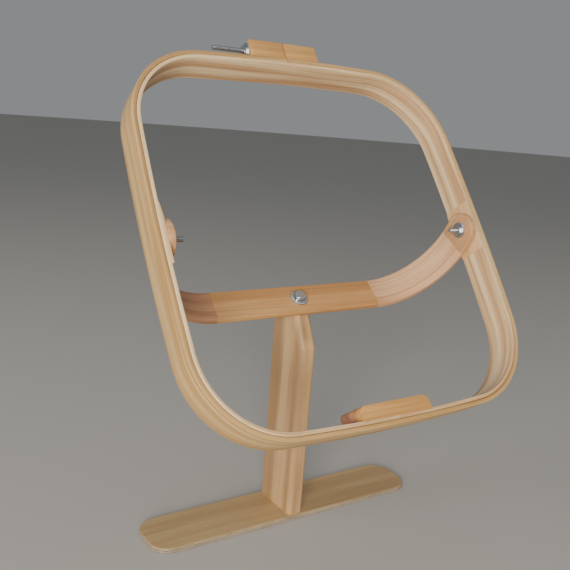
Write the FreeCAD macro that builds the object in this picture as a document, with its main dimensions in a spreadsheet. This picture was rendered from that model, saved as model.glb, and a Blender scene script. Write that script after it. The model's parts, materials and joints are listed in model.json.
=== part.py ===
import FreeCAD, Part
import os

import Sketcher
from FreeCAD import Placement, Rotation, Vector

# Quilting and embroidery hoop on a table stand.
#
# Frame of the part: +X to the stitcher's right along the base plate, +Y away from
# the stitcher, +Z up, origin on the table under the middle of the base plate.
#
# Two tilted frames carry the upper pieces:
#   yoke frame: origin where the swivel screw meets the sloping seat of the post,
#               local X along the yoke bar, local Z square to the seat;
#   hoop frame: origin at the middle of the hoop, local X along the pivots,
#               local Y through the hoop's depth towards its back, local Z up the hoop.

# Driving dimensions: millimetres and degrees.
DIMENSIONS = {
    # base plate, thin plywood
    "base_length": 308.0,
    "base_width": 57.0,
    "base_thickness": 5.0,
    "base_corner_radius": 20.0,
    "base_edge_round": 1.0,
    # post, solid wood
    "post_width": 18.0,
    "post_front": 26.5,
    "post_back": 28.0,
    "post_front_round": 6.0,
    "post_back_round": 2.0,
    "post_bevel_start": 182.0,
    "post_bevel_end": 11.6,
    "post_crest": 12.0,
    "post_back_shoulder": 204.0,
    "post_shoulder_round": 18.0,
    # swivel seat on top of the post and the screw through it
    "seat_centre_back": 2.6,
    "seat_centre_height": 221.7,
    "seat_face_elevation": 58.0,
    "swivel_shank_radius": 3.175,
    "swivel_head_flats": 11.1,
    "swivel_head_height": 4.0,
    "swivel_shank_length": 38.0,
    "swivel_tip_length": 4.0,
    "swivel_washer_radius": 9.3,
    "swivel_washer_thickness": 1.5,
    # yoke, a flat strip glued up from five pieces
    "strip_width": 34.0,
    "strip_thickness": 6.4,
    "bar_length": 188.0,
    "bend_inner_radius": 68.0,
    "arm_straight": 17.0,
    # hoop outline (outer face of the outer ring)
    "hoop_width": 356.0,
    "hoop_height": 361.0,
    "hoop_depth": 31.5,
    "hoop_side_radius": 2500.0,
    "hoop_end_radius": 2000.0,
    "hoop_corner_radius": 82.0,
    "hoop_lean": 36.0,
    "outer_ring_thickness": 4.0,
    "ring_gap": 0.3,
    "inner_ring_thickness": 3.4,
    # clamp on top of the outer ring
    "split_middle": 3.25,
    "split_width": 1.0,
    "clamp_block_length": 37.25,
    "clamp_block_height": 18.0,
    "clamp_bolt_from_front": 9.5,
    "clamp_bolt_above_ring": 10.5,
    "clamp_bolt_end": 77.5,
    "clamp_counterbore_depth": 9.0,
    "clamp_counterbore_radius": 6.0,
    "clamp_head_radius": 5.3,
    "clamp_head_height": 2.8,
    "clamp_neck_side": 5.2,
    "clamp_neck_length": 3.0,
    # splice block on the bottom of the inner ring, two strips side by side
    "splice_length": 74.0,
    "splice_height": 12.5,
    "splice_front_depth": 10.5,
    "splice_end_round": 8.0,
    # pivots, small machine screws through the inner ring, its pads and the yoke
    "pad_length": 53.0,
    "pad_feather": 13.0,
    "pad_tip_thickness": 0.4,
    "pad_clearance": 0.1,
    "small_shank_radius": 2.4,
    "pivot_bolt_length": 25.4,
    "pivot_head_radius": 4.6,
    "pivot_head_height": 2.2,
    "small_nut_flats": 9.5,
    "small_nut_height": 3.3,
    "small_washer_radius": 7.95,
    "small_washer_thickness": 1.2,
    "bore_clearance": 0.05,
    # wood screws up through the base plate into the post
    "wood_screw_radius": 1.9,
    "wood_screw_length": 32.0,
    "wood_screw_head_radius": 4.1,
    "wood_screw_head_height": 2.6,
    "wood_screw_recess": 0.3,
    "wood_screw_spacing": 26.0,
    "wood_screw_tip_length": 4.0,
    "wood_screw_tip_radius": 0.3,
    # how far a cutting tool runs past the faces that it cuts, and into a neighbour
    "overrun": 2.0,
    "root_depth": 10.0,
}

ALONG_X = Rotation(Vector(0, 1, 0), 90)
ALONG_Y = Rotation(Vector(1, 0, 0), -90)
IDENTITY = Rotation()

doc = FreeCAD.newDocument("HoopStand")
sheet = doc.addObject("Spreadsheet::Sheet", "Dims")
nodes = []


def fill_sheet():
    """Write every driving dimension as a plain number with its alias."""
    for row, (alias, number) in enumerate(DIMENSIONS.items(), start=1):
        sheet.set(f"A{row}", alias)
        sheet.set(f"B{row}", str(number))
        sheet.setAlias(f"B{row}", alias)
    doc.recompute()


def value(expression):
    """Return the number that an expression of sheet cells has now."""
    result = sheet.evalExpression(expression)
    return float(getattr(result, "Value", result))


# ---------------------------------------------------------------- small helpers

def bind(obj, **expressions):
    """Bind properties of an object to expressions of the sheet."""
    for name, expression in expressions.items():
        obj.setExpression(name, expression)


def place(obj, rotation, at):
    """Turn an object and bind its position to three expressions."""
    obj.Placement = Placement(Vector(), rotation)
    for axis, expression in zip("xyz", at):
        obj.setExpression(f"Placement.Base.{axis}", expression)
    return obj


def box(name, length, width, height, at):
    """Box from its corner `at`; every size is an expression."""
    obj = doc.addObject("Part::Box", name)
    bind(obj, Length=length, Width=width, Height=height)
    return place(obj, IDENTITY, at)


def cylinder(name, radius, height, at, rotation=IDENTITY):
    """Cylinder from the middle of its first face."""
    obj = doc.addObject("Part::Cylinder", name)
    bind(obj, Radius=radius, Height=height)
    return place(obj, rotation, at)


def cone(name, first_radius, last_radius, height, at, rotation=IDENTITY):
    """Truncated cone from the middle of its first face."""
    obj = doc.addObject("Part::Cone", name)
    bind(obj, Radius1=first_radius, Radius2=last_radius, Height=height)
    return place(obj, rotation, at)


def hexagon(name, flats, height, at, rotation=IDENTITY):
    """Hexagonal prism from its size across flats."""
    obj = doc.addObject("Part::Prism", name)
    obj.Polygon = 6
    bind(obj, Circumradius=f"({flats}) / sqrt(3)", Height=height)
    return place(obj, rotation, at)


def cut(name, base, *tools):
    """Take the tools away from the base, one after the other."""
    result = base
    for number, tool in enumerate(tools, start=1):
        step = doc.addObject("Part::Cut", f"{name}_cut{number}")
        step.Base = result
        step.Tool = tool
        result = step
    return result


def fuse(name, *shapes):
    """Join shapes into one solid without seams."""
    obj = doc.addObject("Part::MultiFuse", name)
    obj.Shapes = list(shapes)
    obj.Refine = True
    return obj


def common(name, *shapes):
    """Keep what all the shapes share."""
    obj = doc.addObject("Part::MultiCommon", name)
    obj.Shapes = list(shapes)
    obj.Refine = True
    return obj


def node(label, obj, frame=None):
    """Name a finished piece and set it in its frame."""
    obj.Label = label
    if frame is not None:
        obj.Placement = frame.multiply(obj.Placement)
    nodes.append(obj)
    return obj


# ------------------------------------------------------------- PartDesign helpers

def origin_plane(body, role):
    """Return one of a body's own origin planes by its role."""
    return next(f for f in body.Origin.OriginFeatures if f.Role == role)


def polygon_sketch(body, role, points):
    """Closed outline of straight lines; each point is a pair of expressions."""
    sketch = body.newObject("Sketcher::SketchObject", f"{body.Name}Outline")
    sketch.AttachmentSupport = [(origin_plane(body, role), "")]
    sketch.MapMode = "FlatFace"
    corners = [Vector(value(x), value(y), 0) for x, y in points]
    for start, end in zip(corners, corners[1:] + corners[:1]):
        sketch.addGeometry(Part.LineSegment(start, end), False)
    count = len(corners)
    for index in range(count):
        sketch.addConstraint(Sketcher.Constraint("Coincident", index, 2, (index + 1) % count, 1))
    for index, (x, y) in enumerate(points):
        for kind, expression in (("DistanceX", x), ("DistanceY", y)):
            rule = Sketcher.Constraint(kind, -1, 1, index, 1, value(expression))
            number = sketch.addConstraint(rule)
            sketch.setExpression(f"Constraints[{number}]", expression)
    return sketch


def pad(body, sketch, length, midplane=False):
    """Pad a sketch; the length is an expression."""
    feature = body.newObject("PartDesign::Pad", f"{body.Name}Pad")
    feature.Profile = sketch
    feature.SideType = "Symmetric" if midplane else "One side"
    feature.setExpression("Length", length)
    doc.recompute()
    return feature


def round_edges(body, radius, wanted):
    """Fillet the edges of the tip that `wanted` picks; the radius is an expression."""
    base = body.Tip
    names = [f"Edge{i}" for i, edge in enumerate(base.Shape.Edges, start=1) if wanted(edge)]
    feature = body.newObject("PartDesign::Fillet", f"{body.Name}Round")
    feature.Base = (base, names)
    feature.setExpression("Radius", radius)
    doc.recompute()
    return feature


def is_along(edge, direction):
    """True for a straight edge along a direction."""
    if not isinstance(edge.Curve, Part.Line):
        return False
    return abs(abs(edge.tangentAt(edge.FirstParameter).dot(direction)) - 1) < 1e-6


# ------------------------------------------------------------------------ frames

def yoke_frame():
    """Frame of the seat: local Z leaves the seat towards the stitcher and up."""
    tilt = 90 - value("Dims.seat_face_elevation")
    seat = Vector(0, value("Dims.seat_centre_back"), value("Dims.seat_centre_height"))
    return Placement(seat, Rotation(Vector(1, 0, 0), tilt))


PIVOT_HEIGHT = "(Dims.strip_thickness + Dims.bend_inner_radius + Dims.arm_straight)"
ARM_INNER = "(Dims.bar_length / 2 + Dims.bend_inner_radius)"
ARM_OUTER = f"({ARM_INNER} + Dims.strip_thickness)"


def hoop_frame():
    """Frame of the hoop: its origin is on the pivot axis, which the yoke carries."""
    centre = yoke_frame().multVec(Vector(0, 0, value(PIVOT_HEIGHT)))
    return Placement(centre, Rotation(Vector(1, 0, 0), -value("Dims.hoop_lean")))


# ------------------------------------------------------------------------- stand

def wood_screw_places():
    """Distances of the two wood screws from the middle, along Y, as expressions."""
    middle = "(Dims.post_back - Dims.post_front) / 2"
    return [f"{middle} {sign} Dims.wood_screw_spacing / 2" for sign in "-+"]


def build_base_plate():
    """Long thin plate with round corners, both faces eased, and two countersunk holes."""
    body = doc.addObject("PartDesign::Body", "BasePlate")
    half_length, half_width = "Dims.base_length / 2", "Dims.base_width / 2"
    corners = [(f"-({half_length})", f"-({half_width})"), (half_length, f"-({half_width})"),
               (half_length, half_width), (f"-({half_length})", half_width)]
    pad(body, polygon_sketch(body, "XY_Plane", corners), "Dims.base_thickness")
    round_edges(body, "Dims.base_corner_radius", lambda e: is_along(e, Vector(0, 0, 1)))
    round_edges(body, "Dims.base_edge_round", lambda e: e.BoundBox.ZLength < 1e-6)
    tools = []
    for y in wood_screw_places():
        through = "Dims.base_thickness + 2 * Dims.overrun"
        tools.append(cylinder("BaseHole", "Dims.wood_screw_radius + Dims.bore_clearance",
                              through, ("0", y, "-Dims.overrun")))
        seat_radius = "Dims.wood_screw_head_radius + Dims.bore_clearance"
        tools.append(cylinder("BaseRecess", seat_radius, "Dims.overrun + Dims.wood_screw_recess",
                              ("0", y, "-Dims.overrun")))
        tools.append(cone("BaseSink", seat_radius, "Dims.wood_screw_radius + Dims.bore_clearance",
                          "Dims.wood_screw_head_height", ("0", y, "Dims.wood_screw_recess")))
    node("base_plate", cut("BasePlate", body, *tools))


def build_base_screws():
    """Two countersunk wood screws that hold the post."""
    screws = []
    for y in wood_screw_places():
        head_end = "Dims.wood_screw_recess + Dims.wood_screw_head_height"
        tip_start = "Dims.wood_screw_recess + Dims.wood_screw_length - Dims.wood_screw_tip_length"
        head = cone("ScrewHead", "Dims.wood_screw_head_radius", "Dims.wood_screw_radius",
                    "Dims.wood_screw_head_height", ("0", y, "Dims.wood_screw_recess"))
        shank = cylinder("ScrewShank", "Dims.wood_screw_radius",
                         f"{tip_start} - ({head_end})", ("0", y, head_end))
        tip = cone("ScrewTip", "Dims.wood_screw_radius", "Dims.wood_screw_tip_radius",
                   "Dims.wood_screw_tip_length", ("0", y, tip_start))
        screws.append(fuse("WoodScrew", head, shank, tip))
    group = doc.addObject("Part::Compound", "BaseScrews")
    group.Links = screws
    node("base_screws", group)


def seat_height(back):
    """Height of the sloping seat at a distance `back` from the middle, as an expression."""
    slope = "tan(90 - Dims.seat_face_elevation)"
    return f"Dims.seat_centre_height + (({back}) - Dims.seat_centre_back) * {slope}"


def build_post():
    """Upright with a bevelled front, a sloping seat on top and rounded edges."""
    body = doc.addObject("PartDesign::Body", "Post")
    outline = [
        ("-Dims.post_front", "Dims.base_thickness"),
        ("Dims.post_back", "Dims.base_thickness"),
        ("Dims.post_back", "Dims.post_back_shoulder"),
        ("Dims.post_crest", seat_height("Dims.post_crest")),
        ("-Dims.post_bevel_end", seat_height("-Dims.post_bevel_end")),
        ("-Dims.post_front", "Dims.post_bevel_start"),
    ]
    pad(body, polygon_sketch(body, "YZ_Plane", outline), "Dims.post_width", midplane=True)
    shoulder = value("Dims.post_back_shoulder")
    round_edges(body, "Dims.post_shoulder_round",
                lambda e: is_along(e, Vector(1, 0, 0)) and abs(e.BoundBox.ZMin - shoulder) < 1e-6)
    bevel_start = value("Dims.post_bevel_start")
    front = -value("Dims.post_front")
    bevel_top = -value("Dims.post_bevel_end")

    def on_front(edge):
        middle = edge.CenterOfMass
        upright = is_along(edge, Vector(0, 0, 1)) and abs(middle.y - front) < 1e-6
        on_bevel = edge.BoundBox.XLength < 1e-6 and front < middle.y < bevel_top
        return upright or (on_bevel and middle.z > bevel_start)

    round_edges(body, "Dims.post_front_round", on_front)
    back = value("Dims.post_back")
    round_edges(body, "Dims.post_back_round",
                lambda e: is_along(e, Vector(0, 0, 1)) and abs(e.CenterOfMass.y - back) < 1e-6)
    depth = "(Dims.swivel_shank_length - Dims.strip_thickness)"
    bottom = ("0", f"Dims.seat_centre_back + {depth} * cos(Dims.seat_face_elevation)",
              f"Dims.seat_centre_height - {depth} * sin(Dims.seat_face_elevation)")
    swivel = cylinder("PostSwivelHole", "Dims.swivel_shank_radius + Dims.bore_clearance / 2",
                      "Dims.swivel_shank_length", bottom, yoke_frame().Rotation)
    pilots = [cylinder("PostPilot", "Dims.wood_screw_radius + Dims.bore_clearance",
                       "Dims.wood_screw_length", ("0", y, "Dims.overrun"))
              for y in wood_screw_places()]
    node("post", cut("Post", body, swivel, *pilots))


# -------------------------------------------------------------------------- yoke

def build_yoke_bar():
    """Straight middle piece of the yoke, with the hole for the swivel screw."""
    bar = box("YokeBar", "Dims.bar_length", "Dims.strip_width", "Dims.strip_thickness",
              ("-Dims.bar_length / 2", "-Dims.strip_width / 2", "0"))
    hole = cylinder("YokeBarHole", "Dims.swivel_shank_radius + Dims.bore_clearance",
                    "Dims.strip_thickness + 2 * Dims.overrun", ("0", "0", "-Dims.overrun"))
    node("yoke_bar", cut("YokeBar", bar, hole), yoke_frame())


def build_yoke_corner(side, sign):
    """Quarter bend between the bar and an eye."""
    start_x = f"{sign} * Dims.bar_length / 2"
    centre = (start_x, "-Dims.strip_width / 2", "Dims.strip_thickness + Dims.bend_inner_radius")
    # the quarter starts at local -Z and ends at local +X or -X
    turn = ALONG_Y if sign > 0 else Rotation(Vector(0, 1, 0), 90).multiply(ALONG_Y)
    outside = cylinder("BendOutside", "Dims.bend_inner_radius + Dims.strip_thickness",
                       "Dims.strip_width", centre, turn)
    outside.Angle = 90
    inside = cylinder("BendInside", "Dims.bend_inner_radius", "Dims.strip_width", centre, turn)
    node(f"yoke_corner_{side}", cut("YokeCorner", outside, inside), yoke_frame())


def build_yoke_eye(side, sign):
    """Short straight end with a round eye for the pivot bolt."""
    low_x = ARM_INNER if sign > 0 else f"-{ARM_OUTER}"
    foot = "Dims.strip_thickness + Dims.bend_inner_radius"
    straight = box("EyeStraight", "Dims.strip_thickness", "Dims.strip_width", "Dims.arm_straight",
                   (low_x, "-Dims.strip_width / 2", foot))
    rounded = cylinder("EyeRound", "Dims.strip_width / 2", "Dims.strip_thickness",
                       (low_x, "0", PIVOT_HEIGHT), ALONG_X)
    hole = cylinder("EyeHole", "Dims.small_shank_radius + Dims.bore_clearance",
                    "Dims.strip_thickness + 2 * Dims.overrun",
                    (f"{low_x} - Dims.overrun", "0", PIVOT_HEIGHT), ALONG_X)
    eye = fuse("YokeEye", straight, rounded)
    node(f"yoke_eye_{side}", cut("YokeEye", eye, hole), yoke_frame())


def build_swivel_fasteners():
    """Hex-headed screw and its washer on the front of the bar."""
    top = "Dims.strip_thickness"
    disc = cylinder("SwivelWasher", "Dims.swivel_washer_radius", "Dims.swivel_washer_thickness",
                    ("0", "0", top))
    hole = cylinder("SwivelWasherHole", "Dims.swivel_shank_radius + Dims.bore_clearance",
                    "Dims.swivel_washer_thickness + 2 * Dims.overrun",
                    ("0", "0", f"{top} - Dims.overrun"))
    node("swivel_washer", cut("SwivelWasher", disc, hole), yoke_frame())

    under_head = "Dims.strip_thickness + Dims.swivel_washer_thickness"
    head = hexagon("SwivelHead", "Dims.swivel_head_flats", "Dims.swivel_head_height",
                   ("0", "0", under_head))
    shank_end = f"{under_head} - Dims.swivel_shank_length"
    shank = cylinder("SwivelShank", "Dims.swivel_shank_radius",
                     "Dims.swivel_shank_length - Dims.swivel_tip_length",
                     ("0", "0", f"{shank_end} + Dims.swivel_tip_length"))
    tip = cone("SwivelTip", "Dims.swivel_shank_radius / 2", "Dims.swivel_shank_radius",
               "Dims.swivel_tip_length", ("0", "0", shank_end))
    node("swivel_screw", fuse("SwivelScrew", head, shank, tip), yoke_frame())


# -------------------------------------------------------------------------- hoop

def hoop_outline(name, inset):
    """Solid inside the hoop's outline moved inwards: bowed sides and round corners."""
    depth = "Dims.hoop_depth"
    centres = [
        (f"{sign} * (Dims.hoop_side_radius - Dims.hoop_width / 2)", "0", "hoop_side_radius")
        for sign in (-1, 1)
    ] + [
        ("0", f"{sign} * (Dims.hoop_end_radius - Dims.hoop_height / 2)", "hoop_end_radius")
        for sign in (-1, 1)
    ]
    rounds = [cylinder(f"{name}Bow", f"Dims.{radius} - ({inset})", depth,
                       (x, f"-{depth} / 2", z), ALONG_Y) for x, z, radius in centres]
    bowed = common(f"{name}Bowed", *rounds)
    doc.recompute()
    radius = value(f"Dims.hoop_corner_radius - ({inset})")
    corners = [i for i, edge in enumerate(bowed.Shape.Edges, start=1)
               if is_along(edge, Vector(0, 1, 0)) and min(abs(edge.CenterOfMass.x),
                                                          abs(edge.CenterOfMass.z)) > radius / 2]
    outline = doc.addObject("Part::Fillet", name)
    outline.Base = bowed
    outline.Edges = [(i, radius, radius) for i in corners]
    doc.recompute()
    return outline


OUTER_INSIDE = "Dims.outer_ring_thickness"
INNER_OUTSIDE = "(Dims.outer_ring_thickness + Dims.ring_gap)"
INNER_INSIDE = f"({INNER_OUTSIDE} + Dims.inner_ring_thickness)"
HALF_DEPTH = "Dims.hoop_depth / 2"
SPLIT_LEFT = "(-Dims.split_middle - Dims.split_width / 2)"
SPLIT_RIGHT = "(-Dims.split_middle + Dims.split_width / 2)"
CLAMP_Y = "(Dims.clamp_bolt_from_front - Dims.hoop_depth / 2)"
CLAMP_Z = "(Dims.hoop_height / 2 + Dims.clamp_bolt_above_ring)"


def build_outer_ring(whole):
    """Outer ring, split at the top between the clamp blocks."""
    inside = hoop_outline("OuterInside", OUTER_INSIDE)
    split = box("RingSplit", "Dims.split_width", "Dims.hoop_depth + 2 * Dims.overrun",
                "Dims.root_depth + Dims.overrun",
                (SPLIT_LEFT, f"-({HALF_DEPTH}) - Dims.overrun", "Dims.hoop_height / 2 - Dims.root_depth"))
    node("outer_ring", cut("OuterRing", whole, inside, split), hoop_frame())


def build_clamp_block(side, low_x, whole):
    """Block glued on the outer ring beside the split, drilled for the clamp bolt."""
    block = box("ClampBlock", "Dims.clamp_block_length", "Dims.hoop_depth",
                "Dims.clamp_block_height + Dims.root_depth",
                (low_x, f"-({HALF_DEPTH})", "Dims.hoop_height / 2 - Dims.root_depth"))
    hole = cylinder("ClampHole", "Dims.small_shank_radius + 4 * Dims.bore_clearance",
                    "Dims.clamp_block_length + 2 * Dims.overrun",
                    (f"{low_x} - Dims.overrun", CLAMP_Y, CLAMP_Z), ALONG_X)
    tools = [whole, hole]
    if side == "right":
        floor = f"({low_x} + Dims.clamp_block_length - Dims.clamp_counterbore_depth)"
        tools.append(cylinder("ClampCounterbore", "Dims.clamp_counterbore_radius",
                              "Dims.clamp_counterbore_depth + Dims.overrun",
                              (floor, CLAMP_Y, CLAMP_Z), ALONG_X))
        socket = "(Dims.clamp_neck_side + 2 * Dims.bore_clearance)"
        tools.append(box("ClampSocket", "Dims.clamp_neck_length + Dims.bore_clearance + Dims.overrun",
                         socket, socket,
                         (f"{floor} - Dims.clamp_neck_length - Dims.bore_clearance",
                          f"{CLAMP_Y} - {socket} / 2", f"{CLAMP_Z} - {socket} / 2")))
    node(f"clamp_block_{side}", cut("ClampBlock", block, *tools), hoop_frame())


def build_clamp_fasteners():
    """Carriage bolt through both blocks, with its washer and nut on the left."""
    floor = f"({SPLIT_RIGHT} + Dims.clamp_block_length - Dims.clamp_counterbore_depth)"
    head = cylinder("ClampHead", "Dims.clamp_head_radius", "Dims.clamp_head_height",
                    (floor, CLAMP_Y, CLAMP_Z), ALONG_X)
    side = "Dims.clamp_neck_side"
    neck = box("ClampNeck", "Dims.clamp_neck_length", side, side,
               (f"{floor} - Dims.clamp_neck_length", f"{CLAMP_Y} - {side} / 2", f"{CLAMP_Z} - {side} / 2"))
    shank = cylinder("ClampShank", "Dims.small_shank_radius", f"Dims.clamp_bolt_end + {floor}",
                     ("-Dims.clamp_bolt_end", CLAMP_Y, CLAMP_Z), ALONG_X)
    node("clamp_bolt", fuse("ClampBolt", head, neck, shank), hoop_frame())
    face = f"({SPLIT_LEFT} - Dims.clamp_block_length)"
    washer_x = f"({face} - Dims.small_washer_thickness)"
    build_small_washer("clamp_washer", washer_x, CLAMP_Y, CLAMP_Z)
    build_small_nut("clamp_nut", f"({washer_x} - Dims.small_nut_height)", CLAMP_Y, CLAMP_Z)


def build_small_washer(label, low_x, y, z):
    """Flat washer on a small bolt along local X."""
    disc = cylinder("SmallWasher", "Dims.small_washer_radius", "Dims.small_washer_thickness",
                    (low_x, y, z), ALONG_X)
    hole = cylinder("SmallWasherHole", "Dims.small_shank_radius + Dims.bore_clearance",
                    "Dims.small_washer_thickness + 2 * Dims.overrun",
                    (f"{low_x} - Dims.overrun", y, z), ALONG_X)
    node(label, cut("SmallWasher", disc, hole), hoop_frame())


def build_small_nut(label, low_x, y, z):
    """Hex nut on a small bolt along local X."""
    prism = hexagon("SmallNut", "Dims.small_nut_flats", "Dims.small_nut_height", (low_x, y, z), ALONG_X)
    hole = cylinder("SmallNutHole", "Dims.small_shank_radius + Dims.bore_clearance",
                    "Dims.small_nut_height + 2 * Dims.overrun",
                    (f"{low_x} - Dims.overrun", y, z), ALONG_X)
    node(label, cut("SmallNut", prism, hole), hoop_frame())


def build_inner_ring(inside):
    """Inner ring with a countersunk hole at each pivot."""
    outside = hoop_outline("InnerOutside", INNER_OUTSIDE)
    outer_x = f"(Dims.hoop_width / 2 - {INNER_OUTSIDE})"
    tools = [inside]
    hole_radius = "Dims.small_shank_radius + Dims.bore_clearance"
    sink_radius = "Dims.pivot_head_radius + Dims.bore_clearance"
    tools.append(cylinder("PivotHoles", hole_radius, "Dims.hoop_width",
                          ("-Dims.hoop_width / 2", "0", "0"), ALONG_X))
    tools.append(cone("PivotSinkRight", hole_radius, sink_radius, "Dims.pivot_head_height",
                      (f"{outer_x} - Dims.pivot_head_height", "0", "0"), ALONG_X))
    tools.append(cone("PivotSinkLeft", sink_radius, hole_radius, "Dims.pivot_head_height",
                      (f"-{outer_x}", "0", "0"), ALONG_X))
    node("inner_ring", cut("InnerRing", outside, *tools), hoop_frame())


def build_splice_block(label, inside, front, depth):
    """One strip of the block that covers the splice of the inner ring."""
    low_z = f"(-Dims.hoop_height / 2 + {INNER_INSIDE})"
    strip = box("SpliceStrip", "Dims.splice_length", depth, "Dims.splice_height + Dims.root_depth",
                ("-Dims.splice_length / 2", front, f"{low_z} - Dims.root_depth"))
    doc.recompute()
    top = value(f"{low_z} + Dims.splice_height")
    ends = [i for i, edge in enumerate(strip.Shape.Edges, start=1)
            if is_along(edge, Vector(0, 1, 0)) and abs(edge.CenterOfMass.z - top) < 1e-6]
    radius = value("Dims.splice_end_round")
    rounded = doc.addObject("Part::Fillet", "SpliceRounded")
    rounded.Base = strip
    rounded.Edges = [(i, radius, radius) for i in ends]
    node(label, common("SpliceBlock", rounded, inside), hoop_frame())


def build_pivot_pad(side, sign, inside):
    """Thin packing pad on the inner ring, feathered at both ends, drilled for the bolt."""
    body = doc.addObject("PartDesign::Body", "PivotPad")
    face = f"({ARM_OUTER} + Dims.pad_clearance)"
    tip = f"(Dims.hoop_width / 2 - {INNER_INSIDE} - Dims.pad_tip_thickness)"
    half, flat = "Dims.pad_length / 2", "(Dims.pad_length / 2 - Dims.pad_feather)"
    back = "Dims.hoop_width / 2"
    outline = [(face, f"-({flat})"), (tip, f"-({half})"), (back, f"-({half})"),
               (back, half), (tip, half), (face, flat)]
    if sign < 0:
        outline = [(f"-{x}", z) for x, z in outline]
    pad(body, polygon_sketch(body, "XZ_Plane", outline), "Dims.hoop_depth", midplane=True)
    trimmed = common("PadTrimmed", body, inside)
    hole = cylinder("PadHole", "Dims.small_shank_radius + Dims.bore_clearance", "Dims.hoop_width",
                    ("-Dims.hoop_width / 2", "0", "0"), ALONG_X)
    node(f"pivot_pad_{side}", cut("PivotPad", trimmed, hole), hoop_frame())


def build_pivot_fasteners(side, sign):
    """Countersunk bolt from the outside of the inner ring, with washer and nut inside."""
    outer_x = f"(Dims.hoop_width / 2 - {INNER_OUTSIDE} - Dims.bore_clearance)"
    end_x = f"({outer_x} - Dims.pivot_bolt_length)"
    straight = "Dims.pivot_bolt_length - Dims.pivot_head_height"
    if sign > 0:
        shank_x, head_x = end_x, f"({outer_x} - Dims.pivot_head_height)"
        radii = ("Dims.small_shank_radius", "Dims.pivot_head_radius")
        washer_x = f"({ARM_INNER} - Dims.small_washer_thickness)"
        nut_x = f"({washer_x} - Dims.small_nut_height)"
    else:
        head_x, shank_x = f"-{outer_x}", f"(-{outer_x} + Dims.pivot_head_height)"
        radii = ("Dims.pivot_head_radius", "Dims.small_shank_radius")
        washer_x = f"(-{ARM_INNER})"
        nut_x = f"({washer_x} + Dims.small_washer_thickness)"
    shank = cylinder("PivotShank", "Dims.small_shank_radius", straight, (shank_x, "0", "0"), ALONG_X)
    head = cone("PivotHead", *radii, "Dims.pivot_head_height", (head_x, "0", "0"), ALONG_X)
    node(f"pivot_bolt_{side}", fuse("PivotBolt", shank, head), hoop_frame())
    build_small_washer(f"pivot_washer_{side}", washer_x, "0", "0")
    build_small_nut(f"pivot_nut_{side}", nut_x, "0", "0")


# ------------------------------------------------------------------ build and write

def build():
    """Build every piece, from the table upwards."""
    fill_sheet()
    build_base_plate()
    build_base_screws()
    build_post()
    build_yoke_bar()
    sides = (("left", -1), ("right", 1))
    for side, sign in sides:
        build_yoke_corner(side, sign)
        build_yoke_eye(side, sign)
    build_swivel_fasteners()
    whole = hoop_outline("OuterOutside", "0")
    build_outer_ring(whole)
    build_clamp_block("left", f"({SPLIT_LEFT} - Dims.clamp_block_length)", whole)
    build_clamp_block("right", SPLIT_RIGHT, whole)
    build_clamp_fasteners()
    inside = hoop_outline("InnerInside", INNER_INSIDE)
    build_inner_ring(inside)
    build_splice_block("splice_block_front", inside, f"-({HALF_DEPTH})", "Dims.splice_front_depth")
    build_splice_block("splice_block_rear", inside, f"(-{HALF_DEPTH} + Dims.splice_front_depth)",
                       "(Dims.hoop_depth - Dims.splice_front_depth)")
    for side, sign in sides:
        build_pivot_pad(side, sign, inside)
        build_pivot_fasteners(side, sign)
    doc.recompute()


def check():
    """Stop if any object failed or any piece is empty or invalid."""
    failed = [o.Label for o in doc.Objects if {"Invalid", "Error"} & set(o.State)]
    if failed:
        raise RuntimeError(f"failed objects: {failed}")
    for piece in nodes:
        shape = piece.Shape
        if shape.isNull() or not shape.isValid() or not shape.Solids or shape.Volume <= 0:
            raise RuntimeError(f"bad shape: {piece.Label}")


def write():
    """Write one STEP file for each piece."""
    os.makedirs("parts", exist_ok=True)
    for piece in nodes:
        piece.Shape.exportStep(f"parts/{piece.Label}.step")
        size = piece.Shape.BoundBox
        print(f"{piece.Label:22s} {len(piece.Shape.Solids)} solid(s) {piece.Shape.Volume:10.1f} mm3 "
              f"y {size.YMin:7.1f}..{size.YMax:6.1f} z {size.ZMin:6.1f}..{size.ZMax:6.1f}")


build()
check()
write()
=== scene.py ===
"""Embroidery hoop on its stand: the visible model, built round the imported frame."""
import json
import logging
import math
from collections.abc import Callable, Iterator
from contextlib import contextmanager
from dataclasses import dataclass, field
from enum import Enum

import bpy
from mathutils import Matrix, Vector


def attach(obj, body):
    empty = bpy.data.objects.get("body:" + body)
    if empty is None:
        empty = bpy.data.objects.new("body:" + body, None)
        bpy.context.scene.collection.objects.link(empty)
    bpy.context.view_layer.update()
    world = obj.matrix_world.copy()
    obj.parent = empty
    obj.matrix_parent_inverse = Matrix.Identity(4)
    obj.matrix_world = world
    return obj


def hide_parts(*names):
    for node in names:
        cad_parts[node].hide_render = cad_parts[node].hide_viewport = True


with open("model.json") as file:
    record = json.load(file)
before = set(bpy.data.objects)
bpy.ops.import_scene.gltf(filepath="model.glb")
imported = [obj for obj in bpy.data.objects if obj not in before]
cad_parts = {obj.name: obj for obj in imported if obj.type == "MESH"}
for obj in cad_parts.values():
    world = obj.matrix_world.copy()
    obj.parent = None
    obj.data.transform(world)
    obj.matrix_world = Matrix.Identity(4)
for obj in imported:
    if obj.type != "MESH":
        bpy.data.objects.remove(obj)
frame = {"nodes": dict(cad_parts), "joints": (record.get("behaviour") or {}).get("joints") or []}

MM = 0.001
LOG = logging.getLogger("hoop_stand")
GRAIN = "grain"          # each wooden piece's own map: along, across and through the strip
QUARTER = math.pi / 2
SAME = 1e-7               # metres within which two places count as one
NEAR = 1e-6               # the same, for places that come from sums of sizes
SMOOTH_ANGLE = math.radians(32)


# ------------------------------------------------------------------------ finishes

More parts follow.
